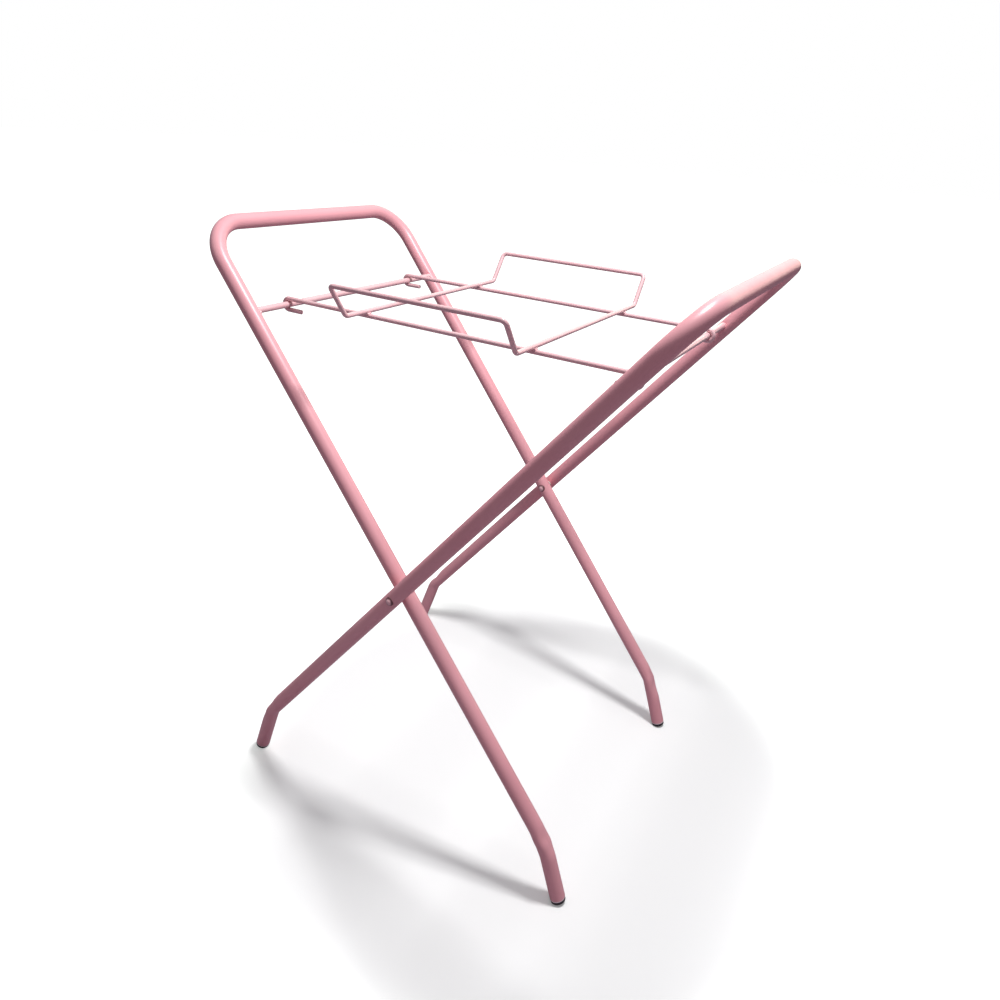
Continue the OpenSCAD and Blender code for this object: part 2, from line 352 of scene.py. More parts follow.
def floorScuffGroup():
    # Where dust and scratches lie: they fade out at Height above the floor
    group, source, target = makeGroup(
        "floorScuff",
        [("Position", "NodeSocketVector", None), ("Height", "NodeSocketFloat", 0.004),
         ("Grain Scale", "NodeSocketFloat", 500.0)],
        [("Mask", "NodeSocketFloat")])
    split = addNode(group, "ShaderNodeSeparateXYZ")
    group.links.new(source.outputs["Position"], split.inputs[0])
    fadeOut(group, source, target, split.outputs["Z"], "Height",
            {"Detail": 6.0, "Roughness": 0.65}, {"From Min": 0.35, "From Max": 0.7})
    return group


def pivotRingGroup():
    # How near a spot is to the pivot line: 0 at Zero At, 1 at Full At, both as radii.
    # The ring's edge wavers by a little each way. It masks the painted shade round the rivets.
    waver = 0.8 * mm
    group, source, target = makeGroup(
        "pivotRing",
        [("Position", "NodeSocketVector", None), ("Zero At", "NodeSocketFloat", 0.007),
         ("Full At", "NodeSocketFloat", 0.005)],
        [("Mask", "NodeSocketFloat")])
    links = group.links
    flat = addNode(group, "ShaderNodeVectorMath", {1: (1, 0, 1)}, operation="MULTIPLY")
    away = addNode(group, "ShaderNodeVectorMath", {1: (0, 0, stand["pivotHeight"])}, operation="DISTANCE")
    grain = addNode(group, "ShaderNodeTexNoise", {"Scale": 900.0, "Detail": 3.0})
    shake = addNode(group, "ShaderNodeMath", {1: 2 * waver}, operation="MULTIPLY_ADD")
    even = addNode(group, "ShaderNodeMath", {1: waver}, operation="SUBTRACT")
    fade = addNode(group, "ShaderNodeMapRange", interpolation_type="SMOOTHSTEP")
    links.new(source.outputs["Position"], flat.inputs[0])
    links.new(flat.outputs["Vector"], away.inputs[0])
    links.new(source.outputs["Position"], grain.inputs["Vector"])
    links.new(grain.outputs["Fac"], shake.inputs[0])
    links.new(away.outputs["Value"], shake.inputs[2])
    links.new(shake.outputs[0], even.inputs[0])
    links.new(even.outputs[0], fade.inputs["Value"])
    links.new(source.outputs["Zero At"], fade.inputs["From Min"])
    links.new(source.outputs["Full At"], fade.inputs["From Max"])
    links.new(fade.outputs[0], target.inputs["Mask"])
    return group


def plasticGrainGroup():
    # Fine grain of a moulded plastic, in its shine and as dimples
    group, source, target = makeGroup(
        "plasticGrain",
        [("Position", "NodeSocketVector", None), ("Scale", "NodeSocketFloat", 1400.0),
         ("Detail", "NodeSocketFloat", 3.0), ("Coarseness", "NodeSocketFloat", 0.5),
         ("Smooth", "NodeSocketFloat", 0.4), ("Rough", "NodeSocketFloat", 0.5),
         ("Strength", "NodeSocketFloat", 0.5), ("Depth", "NodeSocketFloat", 0.0001)],
        [("Roughness", "NodeSocketFloat"), ("Normal", "NodeSocketVector")])
    links = group.links
    grain = addNode(group, "ShaderNodeTexNoise")
    rough = addNode(group, "ShaderNodeMapRange")
    bump = addNode(group, "ShaderNodeBump")
    links.new(source.outputs["Position"], grain.inputs["Vector"])
    links.new(source.outputs["Scale"], grain.inputs["Scale"])
    links.new(source.outputs["Detail"], grain.inputs["Detail"])
    links.new(source.outputs["Coarseness"], grain.inputs["Roughness"])
    links.new(grain.outputs["Fac"], rough.inputs["Value"])
    links.new(source.outputs["Smooth"], rough.inputs["To Min"])
    links.new(source.outputs["Rough"], rough.inputs["To Max"])
    links.new(grain.outputs["Fac"], bump.inputs["Height"])
    links.new(source.outputs["Strength"], bump.inputs["Strength"])
    links.new(source.outputs["Depth"], bump.inputs["Distance"])
    links.new(rough.outputs[0], target.inputs["Roughness"])
    links.new(bump.outputs["Normal"], target.inputs["Normal"])
    return group


orangePeel = orangePeelGroup()
coatTone = coatToneGroup()
plasticGrain = plasticGrainGroup()
rubAndHookShade = rubAndHookShadeGroup()
floorScuff = floorScuffGroup()
pivotRing = pivotRingGroup()


def placeGroup(tree, group, position, **values):
    node = tree.nodes.new("ShaderNodeGroup")
    node.node_tree = group
    tree.links.new(position, node.inputs["Position"])
    for key, value in values.items():
        node.inputs[key].default_value = value
    return node


def startMaterial(name):
    material = bpy.data.materials.new(name)
    material.use_nodes = True
    tree = material.node_tree
    shader = tree.nodes["Principled BSDF"]
    where = tree.nodes.new("ShaderNodeTexCoord").outputs["Object"]
    return material, tree, shader, where


tubeCoat = {
    "thick": (0.870, 0.398, 0.440, 1),
    "thin": (0.885, 0.425, 0.465, 1),
    "roughness": 0.42,
    "gloss": 0.35,
    "glossRoughness": 0.32,
    "peelDepth": 0.02 * mm,
}

# the thin rods and wires are shinier than the tubes, and their colour is painted paler, as a highlight
# for the pale sheen along a thin glossy bar
wireCoat = {
    "thick": (0.880, 0.520, 0.550, 1),
    "thin": (0.910, 0.590, 0.615, 1),
    "roughness": 0.34,
    "gloss": 0.9,
    "glossRoughness": 0.24,
    "peelDepth": 0.015 * mm,
}

# what differs over a coat: its roughness from thin to thick, and where a piece bears on it, with the
# shade of a hook painted darker there
coatWearAndShade = {
    "smoother": 0.05,
    "rougher": 0.06,
    "peelStrength": 0.5,
    # painted shade of a hook on the rod under it
    "paintedHookShade": (0.78, 0.36, 0.41, 1),
    "rubbedRougher": 0.25,
}

rimHighlight = {
    "highlightTone": (0.97, 0.88, 0.88, 1),    # pale line painted along the sharp rim of a cut tube, as a highlight
    "width": 1.2 * mm,
    "soft": 0.4 * mm,
}

rivetShadeRing = {
    "tone": (0.16, 0.055, 0.065, 1),  # dark ring painted round a rivet's head, as the shade where the head meets the tube
    "onHead": (3.4 * mm, 4.9 * mm),
    "onTube": (7.0 * mm, 5.3 * mm),
}


def pinkFinish(name, coat, rippleScale, cloudScale, peel=1.0, hookShadeAndRubAt=None, rim=None, shadeRing=None):
    # Baked gloss coat. The last three arguments give, in turn: how far from the middle plane
    # something bears on it, where the coat is painted darker as its shade and made rougher by
    # its rubbing; the plane of the cut ends as (x, z, distance), alike on both sides of the
    # object, where a pale line is painted along the rim as a highlight; and the two radii of
    # the painted shade ring round a rivet.
    material, tree, shader, where = startMaterial(name)
    links = tree.links
    tone = placeGroup(tree, coatTone, where, **{
        "Thin": coat["thin"], "Thick": coat["thick"], "Cloud Scale": cloudScale})
    skin = placeGroup(tree, orangePeel, where, **{"Ripple Scale": rippleScale})
    rough = addNode(tree, "ShaderNodeMapRange", {
        "To Min": coat["roughness"] - coatWearAndShade["smoother"],
        "To Max": coat["roughness"] + coatWearAndShade["rougher"]})
    bump = addNode(tree, "ShaderNodeBump", {
        "Strength": coatWearAndShade["peelStrength"], "Distance": coat["peelDepth"] * peel})
    links.new(tone.outputs["Cloud"], rough.inputs["Value"])
    links.new(skin.outputs["Height"], bump.inputs["Height"])
    links.new(bump.outputs["Normal"], shader.inputs["Normal"])
    colour, roughness = tone.outputs["Color"], rough.outputs[0]
    if hookShadeAndRubAt:
        mark = placeGroup(tree, rubAndHookShade, where, **{"Middle": hookShadeAndRubAt})
        # painted shade: the band under a hook is darkened as its shadow; the rubbing there only makes it
        # rougher
        worn = addNode(tree, "ShaderNodeMix", {"B": coatWearAndShade["paintedHookShade"]}, data_type="RGBA")
        dull = addNode(tree, "ShaderNodeMath", {1: coatWearAndShade["rubbedRougher"]}, operation="MULTIPLY_ADD")
        links.new(mark.outputs["Mask"], worn.inputs["Factor"])
        links.new(colour, worn.inputs["A"])
        links.new(mark.outputs["Mask"], dull.inputs[0])
        links.new(roughness, dull.inputs[2])
        colour, roughness = worn.outputs["Result"], dull.outputs[0]
    if rim:
        # painted highlight: a pale line along the rim of each cut end
        lineX, lineZ, cutAt = rim
        half = addNode(tree, "ShaderNodeVectorMath", operation="ABSOLUTE")
        past = addNode(tree, "ShaderNodeVectorMath", {1: (lineX, 0, lineZ)}, operation="DOT_PRODUCT")
        edge = addNode(tree, "ShaderNodeMapRange", {
            "From Min": cutAt - rimHighlight["width"] - rimHighlight["soft"], "From Max": cutAt - rimHighlight["width"]},
            interpolation_type="SMOOTHSTEP")
        highlightTone = addNode(tree, "ShaderNodeMix", {"B": rimHighlight["highlightTone"]}, data_type="RGBA")
        links.new(where, half.inputs[0])
        links.new(half.outputs["Vector"], past.inputs[0])
        links.new(past.outputs["Value"], edge.inputs["Value"])
        links.new(edge.outputs[0], highlightTone.inputs["Factor"])
        links.new(colour, highlightTone.inputs["A"])
        colour = highlightTone.outputs["Result"]
    if shadeRing:
        # painted shade: a dark ring round the rivet, where its head meets the tube
        ring = placeGroup(tree, pivotRing, where, **{"Zero At": shadeRing[0], "Full At": shadeRing[1]})
        dark = addNode(tree, "ShaderNodeMix", {"B": rivetShadeRing["tone"]}, data_type="RGBA")
        links.new(ring.outputs["Mask"], dark.inputs["Factor"])
        links.new(colour, dark.inputs["A"])
        colour = dark.outputs["Result"]
    links.new(colour, shader.inputs["Base Color"])
    links.new(roughness, shader.inputs["Roughness"])
    shader.inputs["Coat Weight"].default_value = coat["gloss"]
    shader.inputs["Coat Roughness"].default_value = coat["glossRoughness"]
    return material


rodFinish = pinkFinish("rodGloss", wireCoat, 300, 14, hookShadeAndRubAt=stand["wireHalf"])
wireFinish = pinkFinish("wireGloss", wireCoat, 320, 18)
weldFinish = pinkFinish("weldGloss", wireCoat, 420, 60, peel=2.0)
rivetFinish = pinkFinish("rivetGloss", wireCoat, 420, 50, shadeRing=rivetShadeRing["onHead"])


plugRubber = {
    "tone": {"Thin": (0.022, 0.022, 0.024, 1), "Thick": (0.016, 0.016, 0.018, 1), "Cloud Scale": 120.0},
    "grain": {"Scale": 1400.0, "Detail": 3.0, "Coarseness": 0.6, "Smooth": 0.34, "Rough": 0.52,
              "Strength": 0.6, "Depth": 0.08 * mm},
    "scuff": {"Height": 3.5 * mm, "Grain Scale": 600.0},
    "dust": (0.16, 0.15, 0.14, 1),
    "dustAmount": 0.6,
}

nylon = {
    "tone": {"Thin": (0.80, 0.79, 0.75, 1), "Thick": (0.70, 0.69, 0.64, 1), "Cloud Scale": 90.0},
    "grain": {"Scale": 1800.0, "Detail": 2.0, "Coarseness": 0.5, "Smooth": 0.4, "Rough": 0.55,
              "Strength": 0.4, "Depth": 0.04 * mm},
    "glow": 0.08,
    "glowDepth": 2 * mm,
}


def plasticSkin(tree, shader, where, plastic):
    # Gives the shader the plastic's grain and returns its colour
    tone = placeGroup(tree, coatTone, where, **plastic["tone"])
    grain = placeGroup(tree, plasticGrain, where, **plastic["grain"])
    tree.links.new(grain.outputs["Roughness"], shader.inputs["Roughness"])
    tree.links.new(grain.outputs["Normal"], shader.inputs["Normal"])
    return tone.outputs["Color"]


def plugFinish():
    material, tree, shader, where = startMaterial("plugSatin")
    links = tree.links
    colour = plasticSkin(tree, shader, where, plugRubber)
    scuff = placeGroup(tree, floorScuff, where, **plugRubber["scuff"])
    part = addNode(tree, "ShaderNodeMath", {1: plugRubber["dustAmount"]}, operation="MULTIPLY")
    dusty = addNode(tree, "ShaderNodeMix", {"B": plugRubber["dust"]}, data_type="RGBA")
    links.new(scuff.outputs["Mask"], part.inputs[0])
    links.new(part.outputs[0], dusty.inputs["Factor"])
    links.new(colour, dusty.inputs["A"])
    links.new(dusty.outputs["Result"], shader.inputs["Base Color"])
    return material


def washerFinish():
    material, tree, shader, where = startMaterial("washerNylon")
    tree.links.new(plasticSkin(tree, shader, where, nylon), shader.inputs["Base Color"])
    shader.inputs["Subsurface Weight"].default_value = nylon["glow"]
    shader.inputs["Subsurface Scale"].default_value = nylon["glowDepth"]
    return material


plugSatin = plugFinish()
washerNylon = washerFinish()
print("finishes made")


# ---- frame tubes ----

tube = {
    "radius": 11 * mm,
    "wall": 0.9 * mm,
    "segments": 72,
    "legUp": 568 * mm,
    "cornerRadius": 60 * mm,
    "footHeight": 91 * mm,
    "footAngle": 18.6,
    "footRadius": 20 * mm,
    "endHeight": 6.5086 * mm,    # middle of the cut end above the floor
    "rimEdge": 0.4 * mm,
    "boreDepth": 24 * mm,
    "rimRoom": 0.5 * mm,         # the line stops this far short of the cut, for the rim's rings
}

# Spacing of the rings along a leg. Where a spot needs them closer, the first number is how
# far each way from it that goes on.
legRings = {
    "dish": (13 * mm, 0.7 * mm),
    "knee": (50 * mm, 2 * mm),
    "pivot": (12 * mm, 1.2 * mm),
    "foot": 4 * mm,
    "elsewhere": 7 * mm,
}

# How the press left each foot bend: flat comes off its back, full swells its inner side
# and wide its flanks. Middle is how far down the foot from the knee, reach how far each way.
footPress = {
    "innerTube": {
        near: {"flat": 4.2 * mm, "full": 2.9 * mm, "wide": 0.8 * mm, "middle": -3 * mm, "reach": 26 * mm},
        far: {"flat": 5.0 * mm, "full": 0.0, "wide": 1.2 * mm, "middle": 8 * mm, "reach": 32 * mm},
    },
    "outerTube": {
        near: {"flat": 3.2 * mm, "full": 0.0, "wide": 0.8 * mm, "middle": -3 * mm, "reach": 34 * mm},
        far: {"flat": 2.6 * mm, "full": 0.0, "wide": 0.7 * mm, "middle": -15 * mm, "reach": 28 * mm},
    },
}

crossbar = {
    "radius": 4.5 * mm,
    "along": 431 * mm,           # from the pivot, up the leg
    "inset": 4.5 * mm,           # off the legs' middle plane
    "endGap": 1 * mm,
    "edge": 0.5 * mm,
    "segments": 48,
    "spacing": 6 * mm,
    "dishRadius": 20 * mm,       # ball that pressed the tube wall in round each end
    "dishDepth": 2 * mm,
    "lipSoft": 0.5 * mm,
}

lean, footLean = math.radians(stand["legAngle"]), math.radians(tube["footAngle"])
footTurn = lean - footLean
legDown = (stand["pivotHeight"] - tube["footHeight"]) / math.cos(lean)
footLength = (tube["footHeight"] - tube["endHeight"]) / math.cos(footLean)
# how far off the leg's middle the dish's ball lies: in all, out of the frame's plane, and
# towards the other leg
ballOff = tube["radius"] + crossbar["dishRadius"] - crossbar["dishDepth"]
ballX = crossbar["inset"] * ballOff / tube["radius"]
ballY = math.sqrt(tube["radius"] ** 2 - crossbar["inset"] ** 2) * ballOff / tube["radius"]

endX = legDown * math.sin(lean) + footLength * math.sin(footLean)
tubeFinish = pinkFinish("tubeGloss", tubeCoat, 240, 8, shadeRing=rivetShadeRing["onTube"], rim=(
    math.sin(footLean), -math.cos(footLean),
    math.sin(footLean) * endX - math.cos(footLean) * tube["endHeight"]))


def onLeg(y, half):
    # Whether a point at y belongs to a straight leg, and not to the handle bar's bends
    return np.abs(np.abs(y) - half) < 1 * mm


def framePoints(half):
    footX = -math.sin(footTurn) * footLength
    footZ = -legDown - math.cos(footTurn) * footLength
    return [(footX, -half, footZ), (0, -half, -legDown), (0, -half, tube["legUp"]),
            (0, half, tube["legUp"]), (0, half, -legDown), (footX, half, footZ)]


def tubeShape(half, press):
    # Presses in the dishes round the crossbar's ends, and the foot bends. Back is the
    # bend's outer side, and a leg's own points lie within sideBand of its middle.
    back = unit([math.cos(footTurn / 2), 0, -math.sin(footTurn / 2)])
    sideBand = 5 * mm

    def shape(points, spokes, size):
        for side in (near, far):
            ball = np.array([ballX, side * (half - ballY), crossbar["along"]])
            toBall = ball - points[:, None, :]
            ahead = (toBall * spokes).sum(2)
            inside = ahead ** 2 - (toBall ** 2).sum(2) + crossbar["dishRadius"] ** 2
            hit = (inside > 0) & (ahead > 0)
            reach = np.where(hit, ahead - np.sqrt(np.maximum(inside, 0)), 1.0)
            size = np.where(np.abs(points[:, 1:2] - side * half) < sideBand,
                            softMin(size, reach, crossbar["lipSoft"]), size)
            foot = press[side]
            down = (-legDown - points[:, 2] - foot["middle"]) / foot["reach"]
            amount = np.where(np.abs(points[:, 1] - side * half) < sideBand,
                              np.cos(np.clip(down, -1, 1) * math.pi / 2) ** 2, 0)[:, None]
            facing = spokes @ back
            size = size + amount * (foot["wide"] * spokes[:, :, 1] ** 2
                                    - foot["flat"] * np.maximum(facing, 0) ** 2
                                    + foot["full"] * np.maximum(-facing, 0) ** 2)
        return size
    return shape


def tubeStep(half):
    spots = [(crossbar["along"], *legRings["dish"]), (-legDown, *legRings["knee"]),
             (0, *legRings["pivot"])]

    def step(point):
        if not onLeg(point[1], half):
            return legRings["elsewhere"]
        for height, reach, spacing in spots:
            if abs(point[2] - height) < reach:
                return spacing
        return legRings["foot" if point[2] < -legDown else "elsewhere"]
    return step


def hollowEnd():
    # Rounded rim of the cut tube and the bore behind it
    e, outside, parts = tube["rimEdge"], tube["radius"], 4
    bore = outside - tube["wall"]
    outer = roundedEdge(0, outside, e)
    turns = [math.pi / 2 * k / parts for k in range(1, parts + 1)]
    inner = [(-e + e * math.cos(a), bore + e - e * math.sin(a)) for a in turns]
    return [(-e, outside)] + outer + inner + [(-tube["boreDepth"] / 2, bore), (-tube["boreDepth"], bore)]


def bendTube(name, half, mirrored, node):
    corners = framePoints(half)
    bends = [0, tube["footRadius"], tube["cornerRadius"], tube["cornerRadius"], tube["footRadius"], 0]
    points, tangents = tracePath(corners, bends, tubeStep(half), bendStep=2.5)
    points[0] = points[0] + tangents[0] * tube["rimRoom"]
    points[-1] = points[-1] - tangents[-1] * tube["rimRoom"]
    ends = [(out + tube["rimRoom"], r) for out, r in hollowEnd()]
    piece = sweepBar(name, (points, tangents), tube["radius"], tube["segments"], ends,
                     tubeShape(half, footPress[name]), pose=framePose(mirrored))
    place(piece, tubeFinish, "painted_tube", node)


bendTube("innerTube", stand["innerHalf"], False, "inner_frame_tube")
bendTube("outerTube", stand["outerHalf"], True, "outer_frame_tube")
print("frame tubes bent")


# ---- crossbars and the weld under each end ----

def cutRod(name, half, mirrored, node):
    cut = 1 * mm                 # the line stops this short of the end, for the rounded edge
    end = half - crossbar["endGap"] - cut
    x, z = crossbar["inset"], crossbar["along"]
    path = tracePath([(x, -end, z), (x, end, z)], [0, 0], lambda p: crossbar["spacing"])
    piece = sweepBar(name, path, crossbar["radius"], crossbar["segments"],
                     roundedEdge(cut, crossbar["radius"], crossbar["edge"]), pose=framePose(mirrored))
    place(piece, rodFinish, "painted_rod", node)


tackWeld = {
    "sweep": 128,            # degrees of the rod's underside that it runs along
    "width": 2.3 * mm,
    "ripples": 7,
    "rippleDepth": 0.16,
    "startSize": 0.8,        # of the width, growing along the bead
    "growth": 0.35,
    "leastSize": 0.05,
    "outward": 0.25,         # share of its size by which its middle stands off the corner
    "flatness": 0.75,
    "grain": 900,
    "grainDepth": 0.14,
    "segments": 20,
    "rings": 56,
    "seed": 3,
}


def tackLine(half, side, angle):
    # Point in the corner between rod and leg, at an angle round the rod, in frame space
    x = crossbar["inset"] + crossbar["radius"] * math.sin(angle)
    z = crossbar["along"] - crossbar["radius"] * math.cos(angle)
    across = (x - ballX) ** 2 + (z - crossbar["along"]) ** 2
    deep = ballY - math.sqrt(max(crossbar["dishRadius"] ** 2 - across, 0))
    skin = math.sqrt(max(tube["radius"] ** 2 - x * x, 0))
    return np.array([x, side * (half - min(deep, skin)), z])


def tackWelds(name, half, mirrored, node):
    # Two beads, each ring of which grows, ripples and tapers along the corner
    segments, rings = tackWeld["segments"], tackWeld["rings"]
    verts, faces = [], []
    for side in (near, far):
        base = len(verts)
        line = np.array([tackLine(half, side, math.radians(tackWeld["sweep"]) * (i / (rings - 1) - 0.5))
                         for i in range(rings)])
        for i, point in enumerate(line):
            t = i / (rings - 1)
            along = unit(line[min(i + 1, rings - 1)] - line[max(i - 1, 0)])
            out = unit([point[0] - crossbar["inset"], 0, point[2] - crossbar["along"]])
            sideways = np.array([0, -side, 0.0])
            growth = tackWeld["startSize"] + tackWeld["growth"] * t
            taper = math.sqrt(max(1 - (2 * t - 1) ** 4, 0.0)) * growth
            ripple = 1 + tackWeld["rippleDepth"] * math.cos(2 * math.pi * tackWeld["ripples"] * t)
            size = tackWeld["width"] * max(taper, tackWeld["leastSize"]) * ripple
            middle = point + (out + sideways) * tackWeld["outward"] * size
            across = unit(np.cross(along, out + sideways))
            up = unit(out + sideways)
            for k in range(segments):
                a = 2 * math.pi * k / segments
                spot = middle + (across * math.cos(a) + up * tackWeld["flatness"] * math.sin(a)) * size
                seed = Vector((tackWeld["seed"], side, 0))
                rough = noise.noise(Vector(spot) * tackWeld["grain"] + seed)
                verts.append(spot + (spot - middle) * tackWeld["grainDepth"] * rough)
        faces += ringFaces(rings, segments, base=base) + capFaces(rings, segments, base)
    piece = finishMesh(name, verts, faces, framePose(mirrored))
    place(piece, weldFinish, "painted_weld", node)


cutRod("innerCrossbar", stand["innerHalf"], False, "inner_crossbar")
cutRod("outerCrossbar", stand["outerHalf"], True, "outer_crossbar")
tackWelds("innerTacks", stand["innerHalf"], False, "inner_crossbar_tacks")
tackWelds("outerTacks", stand["outerHalf"], True, "outer_crossbar_tacks")
print("crossbars welded in")


# ---- rivets and washers at the crossings ----

rivet = {
    "shank": 3 * mm,
    "headRadius": 5.25 * mm,
    "headHeight": 3 * mm,
    "gap": 0.1 * mm,
    "flat": 1.2 * mm,            # radius of the flat left by the tool on top of the dome
    "flatDrop": 0.06 * mm,
    "flatRound": 1.35,           # the dome starts at this many times the flat's radius
    "domeRings": 18,
    "domeEnd": 0.1 * mm,         # inside the rim
    "rimEdge": 0.35 * mm,
    "rimTop": 0.02 * mm,
    "rimRound": ((0, 0.6), (0.3, 0.15), (1, 0)),    # inward and up, in rim edges
}

washer = {
    "outer": 7 * mm,
    "hole": 3.05 * mm,
    "thick": 1.2 * mm,
    "edge": 0.2 * mm,
}


def headProfile():
    # Dome from its top to its underside, as (radius, height over the tube)
    r, h, e = rivet["headRadius"], rivet["headHeight"], rivet["rimEdge"]
    dome = (r * r + h * h) / (2 * h)
    top, rings = h - rivet["flatDrop"], rivet["domeRings"]
    profile = [(rivet["flat"] / 4, top), (rivet["flat"], top)]
    low = math.asin(min(1, (r - rivet["domeEnd"]) / dome))
    start = math.asin(rivet["flat"] * rivet["flatRound"] / dome)
    for k in range(rings):
        a = start + (low - start) * k / (rings - 1)
        profile.append((dome * math.sin(a), h - dome + dome * math.cos(a)))
    return profile + [(r - rivet["rimTop"], e)] + [(r - e * x, e * z) for x, z in rivet["rimRound"]]


def crossingPose(side):
    # Turns a lathed piece's axis out along the pivot line, to the near or the far crossing
    pose = Matrix.Translation((0, 0, stand["pivotHeight"])) @ Matrix.Rotation(math.radians(-90), 4, "X")
    return Matrix.Diagonal((1, -1, 1, 1)) @ pose if side == near else pose


def setRivet(name, side, node):
    inside = stand["innerHalf"] - tube["radius"] - rivet["gap"]
    outside = stand["outerHalf"] + tube["radius"] + rivet["gap"]
    top = [(r, outside + h) for r, h in headProfile()]
    bottom = [(r, inside - h) for r, h in reversed(headProfile())]
    neck = [(rivet["shank"], outside), (rivet["shank"], inside)]
    piece = turnPiece(name, top + neck + bottom, crossingPose(side))
    place(piece, rivetFinish, "painted_rivet", node)


def setWasher(name, side, node):
    low = stand["innerHalf"] + tube["radius"] + rivet["gap"]
    high = low + washer["thick"]
    r, hole, e = washer["outer"], washer["hole"], washer["edge"]
    profile = [(hole, low + e), (hole, high - e), (hole + e, high), (r - e, high),
               (r, high - e), (r, low + e), (r - e, low), (hole + e, low)]
    piece = turnPiece(name, profile, crossingPose(side), closed=True)
    place(piece, washerNylon, "washer_nylon", node)


setRivet("nearRivet", near, "pivot_rivet_near")
setRivet("farRivet", far, "pivot_rivet_far")
setWasher("nearWasher", near, "pivot_washer_near")
setWasher("farWasher", far, "pivot_washer_far")
print("rivets set")


# ---- wire rack ----

rack = {
    "wireRadius": 3.25 * mm,
    "segments": 40,
    "spacing": 5 * mm,
    "hookGap": 0.15 * mm,
    "hookFill": 0.9999,          # leaves a trace of a straight between a hook's two bends
    "tail": 24 * mm,             # from the rod's middle to the cut end of a hook
    "rimHighlight": 0.7 * mm,
    "crossX": (-119 * mm, 133 * mm),
    "crossHalf": 183.95 * mm,
    "guardHalf": 212.95 * mm,
    "guardHeight": 43 * mm,
    "lowRadius": 9 * mm,
    "topRadius": 7 * mm,
    "weldGap": 0.05 * mm,
}

rodX = crossbar["along"] * math.sin(lean) - crossbar["inset"] * math.cos(lean)
rodZ = stand["pivotHeight"] + crossbar["along"] * math.cos(lean) + crossbar["inset"] * math.sin(lean)
hookRadius = crossbar["radius"] + rack["wireRadius"] + rack["hookGap"]
wireZ = rodZ + hookRadius
crossZ = wireZ + 2 * rack["wireRadius"] + rack["weldGap"]


def hookedWire(name, side, node):
    cut = 1 * mm                 # the line stops this short of the end, for the rounded edge
    y, low, tail = side * stand["wireHalf"], rodZ - hookRadius, rodX - rack["tail"] + cut
    corners = [(-tail, y, low), (-rodX - hookRadius, y, low), (-rodX - hookRadius, y, wireZ),
               (rodX + hookRadius, y, wireZ), (rodX + hookRadius, y, low), (tail, y, low)]
    bends = [0] + [hookRadius * rack["hookFill"]] * 4 + [0]
    path = tracePath(corners, bends, lambda p: rack["spacing"], bendStep=5)
    piece = sweepBar(name, path, rack["wireRadius"], rack["segments"],
                     roundedEdge(cut, rack["wireRadius"], rack["rimHighlight"]))
    place(piece, wireFinish, "painted_wire", node)


def bentCradle(name, node):
    a, b = rack["crossX"]
    top = crossZ + rack["guardHeight"]
    c, g = rack["crossHalf"], rack["guardHalf"]
    corners = [(a, -c, crossZ), (a, -g, top), (b, -g, top), (b, -c, crossZ),
               (b, c, crossZ), (b, g, top), (a, g, top), (a, c, crossZ)]
    low, high = rack["lowRadius"], rack["topRadius"]
    bends = [low, high, high, low, low, high, high, low]
    path = tracePath(corners, bends, lambda p: rack["spacing"], bendStep=5, closed=True)
    piece = sweepBar(name, path, rack["wireRadius"], rack["segments"], closed=True)
    place(piece, wireFinish, "painted_wire", node)


crossWeld = {
    "reach": 4.3 * mm,       # sideways, from the middle of the crossing
    "thick": 2.1 * mm,
    "lumps": 0.2,
    "lumpScale": 1.7,
    "corners": 0.12,         # how much less it spreads over the wires themselves
    "segments": 48,
    "rows": 24,
    "seed": 11,
}


def crossWelds(name, node):
    # Squeezed-out beads of the resistance welds between the crossing wires
    segments, rows = crossWeld["segments"], crossWeld["rows"]
    verts, faces = [], []
    for i, x in enumerate(rack["crossX"]):
        for side in (near, far):
            base = len(verts)
            middle = Vector((x, side * stand["wireHalf"], wireZ + rack["wireRadius"]))
            seed = Vector((crossWeld["seed"], 3 * i, 2 * side))
            for row in range(rows):
                polar = math.pi * (row + 0.5) / rows
                ring = math.sin(polar)
                for k in range(segments):
                    a = 2 * math.pi * k / segments
                    way = Vector((ring * math.cos(a), ring * math.sin(a), math.cos(polar)))
                    lump = noise.noise(way * crossWeld["lumpScale"] + seed)
                    size = 1 + crossWeld["lumps"] * lump - crossWeld["corners"] * math.cos(4 * a) * ring
                    verts.append(middle + Vector((way.x * crossWeld["reach"], way.y * crossWeld["reach"],
                                                  way.z * crossWeld["thick"])) * size)
            faces += ringFaces(rows, segments, base=base) + capFaces(rows, segments, base)
    piece = finishMesh(name, verts, faces)
    place(piece, weldFinish, "painted_weld", node)


hookedWire("nearWire", near, "rack_wire_near")
hookedWire("farWire", far, "rack_wire_far")
bentCradle("cradleLoop", "cradle_loop")
crossWelds("rackWelds", "rack_welds")
print("rack bent and welded")


# ---- foot plugs ----

footPlug = {
    "rim": 10.6 * mm,
    "rimThick": 4 * mm,
    "dome": 5 * mm,
    "edge": 0.35 * mm,
    "edgeMiddle": 0.3,       # in edges, how far in and down the middle of its round lies
    "stem": 9.55 * mm,
    "rib": 10.05 * mm,
    "stemLength": 20 * mm,
    "hollow": 7.75 * mm,
    "ribs": 3,
    "ribHalf": 0.5 * mm,
    "tip": 0.05 * mm,
    "domeRings": 28,
    "domeCrowd": 0.85,       # under 1 draws the dome's rings towards its rim
    "wornSoft": 0.25 * mm,
    "offFloor": 0.001 * mm,
}


